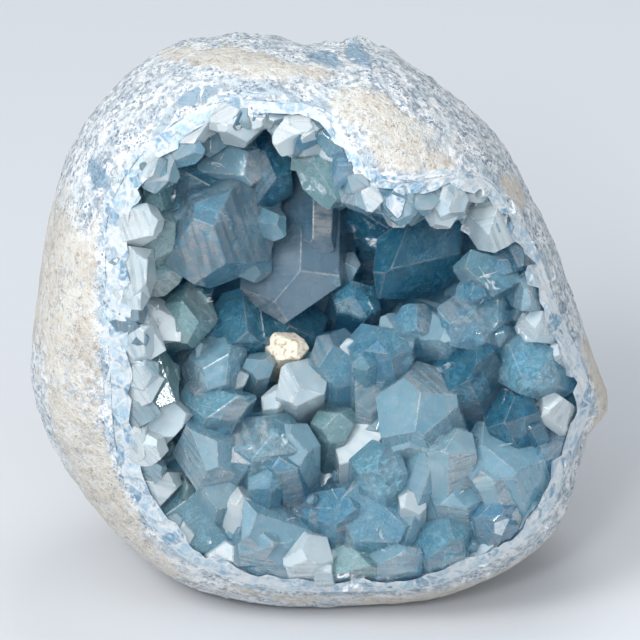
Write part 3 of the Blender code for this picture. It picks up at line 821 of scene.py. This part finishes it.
def inner_sheet(head, axis, turn, width, chance):
    """A healed crack inside a crystal: a thin flat solid between two close planes across the shaft,
    bounded by the crystal's own faces moved inwards. Gives its points in millimetres and its loops."""
    normals, reach = crystal_planes(width, width * 0.7, chance)
    reach = reach * 0.74
    across = unit(chance.normal(size=3))
    middle = chance.uniform(-0.22, 0.22) * width
    normals = np.concatenate([normals, [across, -across]])
    reach = np.concatenate([reach, [middle + SHEET_HALF_THICKNESS, SHEET_HALF_THICKNESS - middle]])
    normals = normals + chance.normal(0, 0.003, normals.shape)
    points, trios = solid_corners(normals, reach)
    loops, _ = solid_faces(normals, points, trios)
    return points @ own_axes(axis, turn) + head, loops


def own_axes(axis, turn):
    """A crystal's b, c and a axes in u, v and w: two at right angles to its axis, turned about it."""
    side = unit(np.cross(axis, (0.3, 1.0, 0.2)))
    other = np.cross(axis, side)
    c, s = math.cos(math.radians(turn)), math.sin(math.radians(turn))
    return np.array([c * side + s * other, -s * side + c * other, axis])


def note_crystal(mesh, kind, tone, frost_and_edge_highlight, own_place):
    """Gives a mesh the piece's materials and the numbers that its finish reads: the kind, the tone of
    the whole crystal, the frosting of each face and each corner's place in the crystal's own axes."""
    for name in KINDS:
        mesh.materials.append(finishes[name])
    count = len(mesh.polygons)
    mesh.polygons.foreach_set("material_index", np.broadcast_to(kind, count).astype(np.int32))
    for name, values in (("tone", tone), ("frost_and_edge_highlight", frost_and_edge_highlight)):
        numbers = np.broadcast_to(values, count).astype(np.float32)
        mesh.attributes.new(name, "FLOAT", "FACE").data.foreach_set("value", numbers)
    places = np.broadcast_to(own_place, (len(mesh.loops), 3)).astype(np.float32)
    corners = mesh.attributes.new("own_place", "FLOAT_VECTOR", "CORNER")
    corners.data.foreach_set("vector", places.ravel())


def corner_places(mesh):
    """The place of every face corner of a mesh, in metres."""
    index = np.zeros(len(mesh.loops), np.int32)
    mesh.loops.foreach_get("vertex_index", index)
    return point_places(mesh)[index]


# What the inside of every crystal shows: wisps and veils of tiny bubbles, fine growth lines along its
# axis, pale specks that are painted glints, and faces that are frosted where others are bright.
inside = bpy.data.node_groups.new("crystal inside", "ShaderNodeTree")
for way, kind, names in (
    ("INPUT", "Color", ("Body", "Shade", "Veil")),
    ("INPUT", "Float", ("Veils", "Painted glints", "Lines", "Gloss")),
    ("OUTPUT", "Color", ("Colour",)),
    ("OUTPUT", "Float", ("Roughness", "Height")),
):
    for name in names:
        inside.interface.new_socket(name, in_out=way, socket_type="NodeSocket" + kind)
w = Wiring(inside)
given = inside.nodes.new("NodeGroupInput").outputs
own = w.attribute("own_place", "Vector")
tone = w.attribute("tone")
frost_and_edge_highlight = w.attribute("frost_and_edge_highlight")
drift = w.noise(own, 55, 2)
feathered = w.add("Mapping", {"Vector": own, "Scale": (1.0, 1.0, 0.22)}).outputs[0]
wisps = w.noise(feathered, 300, 4, 0.4)
stretched = w.add("Mapping", {"Vector": own, "Scale": (1.0, 1.0, 0.06)}).outputs[0]
lines = w.noise(stretched, 1300, 2)
shaded = w.plus(drift, w.times(w.math("SUBTRACT", tone, 0.5), 0.5))
body = w.mix(w.ramp(shaded, 0.3, 0.7), given["Body"], given["Shade"])
veils = w.times(w.ramp(wisps, 0.46, 0.78), given["Veils"])
body = w.mix(veils, body, given["Veil"])
body = w.mix(w.times(w.ramp(lines, 0.5, 0.75), given["Lines"]), body, given["Veil"])
# Painted glints: small white spots in the colour stand in for glints of light on the crystal.
painted_glints = w.times(w.ramp(w.cells(own, 420), 0.20, 0.08), w.ramp(w.noise(own, 90, 3), 0.54, 0.64))
body = w.mix(w.times(painted_glints, given["Painted glints"]), body, (0.92, 0.94, 0.94))
# Frosted faces turn pale and striped; on worn edges this pale line is partly wear, partly painted
# highlight.
pale = w.times(frost_and_edge_highlight, w.ramp(w.noise(own, 260, 3), 0.25, 0.60))
across = w.add("Mapping", {"Vector": own, "Scale": (0.05, 0.05, 1.0)}).outputs[0]
stripes = w.ramp(w.noise(across, 900, 2), 0.48, 0.62)
stripes = w.mix(stripes, (0.93, 0.94, 0.93), (0.36, 0.46, 0.52))
body = w.mix(w.times(pale, 0.85), body, stripes)
rough = w.plus(given["Gloss"], w.times(pale, 0.30))
rough = w.plus(rough, w.times(veils, 0.12))
height = w.times(lines, w.plus(w.times(given["Lines"], 0.8), 0.12))
height = w.plus(height, w.times(w.noise(own, 80, 2), 2.0))
taken = inside.nodes.new("NodeGroupOutput")
w.fill(taken, {"Colour": body, "Roughness": rough, "Height": height})


def celestite(name, body, shade, veil, veils, painted_glints, lines, gloss, clear, tint, density):
    """One kind of crystal: its colours and marks go through the shared group, and its clearness and
    its tint through the depth are set plainly."""
    made, shader, w = new_material("celestite " + name)
    group = w.add("Group", node_tree=inside)
    w.fill(group, {"Body": body, "Shade": shade, "Veil": veil})
    w.fill(group, {"Veils": veils, "Painted glints": painted_glints, "Lines": lines, "Gloss": gloss})
    shown, rough, height = group.outputs
    w.finish(shader, shown, rough, height, 0.30, 0.0004)
    w.fill(shader, {"Transmission Weight": clear, "IOR": REFRACTION})
    absorb = w.add("VolumeAbsorption", {"Color": tint, "Density": density})
    w.fill(made.node_tree.nodes["Material Output"], {"Volume": absorb.outputs[0]})
    return made


finishes = {
    "sky": celestite("sky blue", (0.38, 0.80, 0.97), (0.22, 0.62, 0.88), (0.72, 0.93, 0.99),
                     0.45, 0.8, 0.22, 0.02, 0.76, (0.48, 0.82, 0.96), 7.0),
    "deep": celestite("deep blue", (0.18, 0.62, 0.87), (0.07, 0.42, 0.66), (0.46, 0.82, 0.95),
                      0.40, 0.6, 0.22, 0.02, 0.83, (0.36, 0.74, 0.92), 12.0),
    "veiled": celestite("veiled grey-blue", (0.54, 0.86, 0.98), (0.37, 0.73, 0.91), (0.86, 0.97, 1.0),
                        0.50, 0.8, 0.45, 0.04, 0.68, (0.60, 0.88, 0.97), 6.0),
    "pale": celestite("pale", (0.86, 0.97, 1.0), (0.70, 0.89, 0.97), (0.98, 1.0, 1.0),
                      0.70, 0.8, 0.30, 0.06, 0.48, (0.76, 0.94, 0.99), 4.0),
    "green": celestite("grey-green", (0.48, 0.80, 0.85), (0.32, 0.65, 0.72), (0.78, 0.94, 0.95),
                       0.45, 0.6, 0.22, 0.04, 0.70, (0.54, 0.83, 0.87), 7.0),
    "smoky": celestite("smoky pillar", (0.32, 0.52, 0.67), (0.13, 0.29, 0.43), (0.56, 0.71, 0.81),
                       0.40, 0.4, 0.30, 0.04, 0.70, (0.30, 0.53, 0.73), 34.0),
    # The massive layer's dark blue is painted shade for the gaps between the crystals.
    "massive": celestite("massive", (0.25, 0.60, 0.78), (0.09, 0.36, 0.53), (0.68, 0.88, 0.96),
                         0.55, 0.6, 0.05, 0.22, 0.46, (0.38, 0.72, 0.88), 24.0),
}
# Ground flush at the rim: each cut crystal a cell of its own, frosted white to blue-grey, feathered
# inside and set in white.
flush, shader, w = new_material("ground flush")
place = w.add("TexCoord").outputs["Object"]
bent = w.shaken(place, 90.0, 0.006)
cell = w.add("SeparateColor", {0: w.cells(bent, 150, output="Color")})
small = w.add("SeparateColor", {0: w.cells(bent, 420, output="Color")})
border = w.ramp(w.cells(bent, 150, "DISTANCE_TO_EDGE"), 0.09, 0.02)
feather = {"Vector": bent, "Rotation": (0.4, 0.9, 0.2), "Scale": (1.0, 1.0, 0.10)}
feather = w.noise(w.add("Mapping", feather).outputs[0], 900, 5, 0.6)
mist = w.noise(place, 330, 6, 1.2)
body = w.mix(w.ramp(cell.outputs[0], 0.15, 0.75), (0.72, 0.77, 0.80), (0.40, 0.57, 0.68))
body = w.mix(w.ramp(cell.outputs[1], 0.66, 0.74), body, (0.14, 0.31, 0.46))
body = w.mix(w.times(w.ramp(small.outputs[2], 0.72, 0.80), 0.8), body, (0.24, 0.44, 0.60))
body = w.mix(w.times(w.ramp(feather, 0.45, 0.70), 0.55), body, (0.74, 0.79, 0.82))
body = w.mix(w.times(w.ramp(mist, 0.46, 0.64), 0.8), body, (0.78, 0.81, 0.82))
body = w.mix(w.times(border, 0.8), body, (0.78, 0.79, 0.79))
rise = w.plus(w.times(cell.outputs[2], 0.8), w.times(small.outputs[1], 0.6))
rise = w.plus(rise, w.times(w.noise(place, 1100, 4), 0.7))
w.finish(shader, body, w.plus(w.times(mist, 0.35), 0.22), rise, 0.5, 0.0006)
w.fill(shader, {"Transmission Weight": 0.22, "IOR": REFRACTION})
finishes["ground"] = flush
chip, shader, w = new_material("marl chip")
place = w.add("TexCoord").outputs["Object"]
spots = w.ramp(w.noise(place, 700, 4), 0.52, 0.68)
body = w.mix(spots, (0.82, 0.74, 0.60), (0.45, 0.36, 0.26))
w.finish(shader, body, 0.85, w.noise(place, 900, 5), 0.9, 0.0008)
finishes["marl"] = chip

# The massive layer, which reaches out past the mouth and into the rock. Its dark blue finish is
# painted shade for the gaps between the crystals, where it shows.
ring = np.radians(np.arange(CRUST_RING_STEPS) * 360.0 / CRUST_RING_STEPS)
share = np.linspace(0.04, 1, CRUST_ROWS)
wall = hollow_wall(ring, share)
front, inward = lining_front(ring, share)
knobs = LINING_KNOBS * broken_facets(front, 8.0, 97) * share[:, None]
front = front + inward * knobs[..., None]
back = wall - inward * ROOT_DEPTH
past_mouth = np.array([0, 0, 14.0])
layer = np.concatenate([back, back[-1:] + past_mouth, front[-1:] + past_mouth, front[::-1]])
lining_mesh = fill_grid("crystals", layer)
note_crystal(lining_mesh, KINDS.index("massive"), 0.5, 0.0, corner_places(lining_mesh))

# The room that it may fill: the hollow, and a cap that follows the egg's form from behind the lip.
ring_lip = lip_angle(ring)
ring_rim = rim_width(ring)
along_rim = np.stack([ring * 80, ring * 0, ring * 0], axis=-1)
setback = SETBACK + SETBACK_WANDER * random_field(along_rim, 9.0, 93)
setback += SETBACK_FRAY * random_field(along_rim, 3.0, 94)
setback = np.clip(setback, 0.3, np.clip(0.22 * ring_rim - 1.0, 0.35, 4.5))
share = np.linspace(0, 1, CAP_ROWS + 1)[1:, None] ** 1.7
cap_start = ring_lip - setback / MOUTH_RADIUS
phi = cap_start[None, :] + (math.radians(89) - cap_start[None, :]) * share
cap = form_point(ring, phi)
cut = 1.1 * broken_facets(cap, 6.5, 91) + 0.6 * broken_facets(cap, 2.6, 95) - 0.5
rough_share = np.clip((phi - cap_start[None, :]) * MOUTH_RADIUS / CUT_ROUGHENS_OVER, 0, 1)
cut = 0.12 + rough_share * cut
cap = cap + cap / np.linalg.norm(cap, axis=-1, keepdims=True) * cut[..., None]
cap_edge = form_point(ring, cap_start)[None] * 0.98
room_mesh = fill_grid("room", np.concatenate([wall[:-1] - inward[:-1] * 0.4, cap_edge, cap]))
note_crystal(room_mesh, KINDS.index("ground"), 0.5, 0.3, corner_places(room_mesh))
room = bpy.data.objects.new("room", room_mesh)
lining = put_in_scene("lining", lining_mesh)

# The large crystals, each with its healed cracks and the smaller ones on its flanks.
growth = bpy.data.collections.new("growth")
bpy.context.scene.collection.children.link(growth)
sheets = []
chance = np.random.default_rng(7)
extra = np.random.default_rng(19)
all_round = np.radians(np.arange(0, 360, 4.0))
wall_points = hollow_wall(all_round, np.linspace(0, 1, 40)).reshape(-1, 3)
for u, v, sunk, width, lean_right, lean_up, turn, kind in CRYSTALS:
    axis = unit(np.array([lean_right, lean_up, 1.0]))
    head = np.array([u, v, form_depth(u, v) - sunk]) - axis * width / 2
    length = root_length(head, axis, wall_points)
    index = KINDS.index(kind)
    grow_crystal(head, axis, turn, width, length, index, chance)
    if width > 9 and sunk > 7 and kind not in ("marl", "smoky"):
        sheets += [inner_sheet(head, axis, turn, width, extra) for _ in range(SHEETS_EACH)]
    for _ in range(COMPANIONS_EACH if width > 14 and kind != "marl" else 0):
        off = extra.normal(size=3)
        off -= axis * (off @ axis)
        off *= width * extra.uniform(0.28, 0.55) / np.linalg.norm(off)
        small = width * extra.uniform(0.22, 0.55)
        place = head + off - axis * extra.uniform(-0.12, 0.35) * width
        lean = unit(axis + extra.normal(0, 0.16, 3))
        twist = turn + extra.uniform(-15, 15)
        grow_crystal(place, lean, twist, small, length + 2, index, extra)

# Small crystals on the massive layer between them, brighter towards the mouth.
fill_theta = extra.uniform(0, 2 * math.pi, GAP_FILLERS)
fill_share = np.sort(extra.uniform(0.05, 0.97, GAP_FILLERS) ** 0.7)
for t, s in zip(fill_theta, fill_share):
    around = t + np.radians([-1.0, 0.0, 1.0])
    spot, normal = lining_front(around, np.array([s - 0.01, s, s + 0.01]))
    spot, normal = spot[1, 1], normal[1, 1]
    axis = unit(normal + (0, 0, 0.5) + extra.normal(0, 0.35, 3))
    width = extra.uniform(4, 10)
    head = spot + axis * extra.uniform(-0.3, 0.7) * width
    kinds = ["pale", "veiled", "sky"] if s > 0.8 else ["sky", "deep", "veiled", "green", "deep"]
    kind = extra.choice(kinds)
    grow_crystal(head, axis, extra.uniform(0, 90), width, width + 8, KINDS.index(kind), extra)

# The rows round the rim, closer to the lip where the rim is thin.
for near, far, small, large, count in RIM_ROWS:
    row_theta = (np.arange(count) + extra.uniform(-0.4, 0.4, count)) * 2 * math.pi / count
    row_lip = form_point(row_theta, lip_angle(row_theta))
    row_room = np.interp(row_theta, ring, np.clip(ring_rim / 14, 0.5, 1.2), period=2 * math.pi)
    for t, lip_point, wide in zip(row_theta, row_lip, row_room):
        inwards = -np.array([math.cos(t), math.sin(t), 0.0])
        width = extra.uniform(small, large)
        spot = lip_point + inwards * extra.uniform(near, far) * wide
        sunk = extra.uniform(-0.5, 1.5) if extra.uniform() < 0.5 else extra.uniform(1.0, 5)
        axis = inwards * extra.uniform(0.3, 1.2) + (0, 0, 1) + extra.normal(0, 0.25, 3)
        axis = unit(axis)
        head = np.array([spot[0], spot[1], form_depth(spot[0], spot[1]) - sunk])
        head -= axis * width * 0.45
        kind = extra.choice(["pale", "pale", "veiled", "sky"])
        grow_crystal(head, axis, extra.uniform(0, 90), width, 10, KINDS.index(kind), extra)

# The layer alone is trimmed to the room, and then all the crystals are joined to it as one solid.
trimmed = lining.modifiers.new("trim to the room", "BOOLEAN")
trimmed.operation, trimmed.solver = "INTERSECT", "EXACT"
trimmed.object = room
joined = lining.modifiers.new("join the crystals", "BOOLEAN")
joined.operation, joined.solver = "UNION", "MANIFOLD"
joined.operand_type = "COLLECTION"
joined.collection = growth
trimmed.material_mode = joined.material_mode = "INDEX"
finished = lining.evaluated_get(bpy.context.evaluated_depsgraph_get())
grown = bpy.data.meshes.new_from_object(finished)
grown.name = "crystals"
grown.shade_flat()
for helper in [*growth.objects, room, lining]:
    bpy.data.objects.remove(helper)
crystals = put_in_scene("crystals", grown)

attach(crystals, "root")
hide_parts("crystal_crust")


# The veils
# Healed cracks inside the larger crystals: thin sheets of tiny bubbles, silvery where they catch the
# light. They grew shut with the crystal, so they are wholly inside it.
veil_points, veil_faces, so_far = [], [], 0
for points, loops in sheets:
    veil_points.append(to_world(points))
    veil_faces += [(loop + so_far).tolist() for loop in loops]
    so_far += len(points)
veil_mesh = bpy.data.meshes.new("inner_veils")
veil_mesh.from_pydata(np.concatenate(veil_points).tolist(), [], veil_faces)
veils = put_in_scene("inner_veils", veil_mesh)
silver, shader, w = new_material("bubble veil")
place = w.add("TexCoord").outputs["Object"]
patchy = w.ramp(w.noise(place, 260, 6, 1.5), 0.46, 0.70)
w.fill(shader, {"Base Color": (0.90, 0.95, 0.98), "Roughness": 0.3})
w.fill(shader, {"Alpha": w.times(patchy, 0.75)})
veil_mesh.materials.append(silver)
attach(veils, "root")
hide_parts("crystal_crust")


# The studio
# A plain pale floor, and soft studio light: four square lamps from the upper left, the right, the
# front and above, and a pale sky with one brighter window. Nothing stands behind the geode, so it
# can be seen from all sides.
FLOOR_HALF = 3.0
LAMPS_AIM = (0, 0, 0.1)
WINDOW_AT = (-0.42, -0.62, 0.66)
points = [(x * FLOOR_HALF, y * FLOOR_HALF, 0.0) for x, y in ((-1, -1), (1, -1), (1, 1), (-1, 1))]
floor_mesh = bpy.data.meshes.new("floor")
floor_mesh.from_pydata(points, [], [(0, 1, 2, 3)])
floor = put_in_scene("floor", floor_mesh)
pale_floor, shader, w = new_material("pale floor")
w.fill(shader, {"Base Color": (0.62, 0.63, 0.65), "Roughness": 0.75})
floor_mesh.materials.append(pale_floor)


def soft_lamp(name, place, size, power, tint):
    """A square area lamp at a place, turned to face the geode."""
    data = bpy.data.lights.new(name, "AREA")
    data.size = size
    data.energy = power
    data.color = tint
    made = put_in_scene(name, data)
    made.location = place
    direction = np.array(LAMPS_AIM) - np.array(place)
    pitch = math.atan2(math.hypot(direction[0], direction[1]), -direction[2])
    made.rotation_euler = (pitch, 0, math.atan2(direction[1], direction[0]) - math.pi / 2)


soft_lamp("key", (-0.75, -0.85, 1.15), 0.5, 11.0, (1.0, 0.99, 0.97))
soft_lamp("fill", (1.1, -0.7, 0.6), 0.6, 3.2, (0.94, 0.97, 1.0))
soft_lamp("front", (-0.3, -1.5, 1.1), 0.25, 7.5, (1.0, 1.0, 1.0))
soft_lamp("top", (0.2, 0.3, 1.4), 0.6, 5.0, (0.96, 0.98, 1.0))

scene = bpy.context.scene
scene.world = bpy.data.worlds.new("studio")
scene.world.use_nodes = True
w = Wiring(scene.world.node_tree)
toward = w.add("TexCoord").outputs["Generated"]
window = w.add("VectorMath", {0: toward, 1: WINDOW_AT}, operation="DOT_PRODUCT").outputs["Value"]
strength = w.plus(w.times(w.ramp(window, 0.70, 0.88), 1.6), 0.36)
sky = scene.world.node_tree.nodes["Background"]
w.fill(sky, {"Color": (0.80, 0.86, 0.93), "Strength": strength})

scene.cycles.max_bounces = 7
scene.cycles.transmission_bounces = 5
scene.cycles.glossy_bounces = 3
scene.cycles.diffuse_bounces = 2
scene.cycles.blur_glossy = 1.0
scene.cycles.sample_clamp_indirect = 4.0
scene.cycles.use_denoising = True
scene.view_settings.view_transform = "Standard"
scene.view_settings.look = "None"
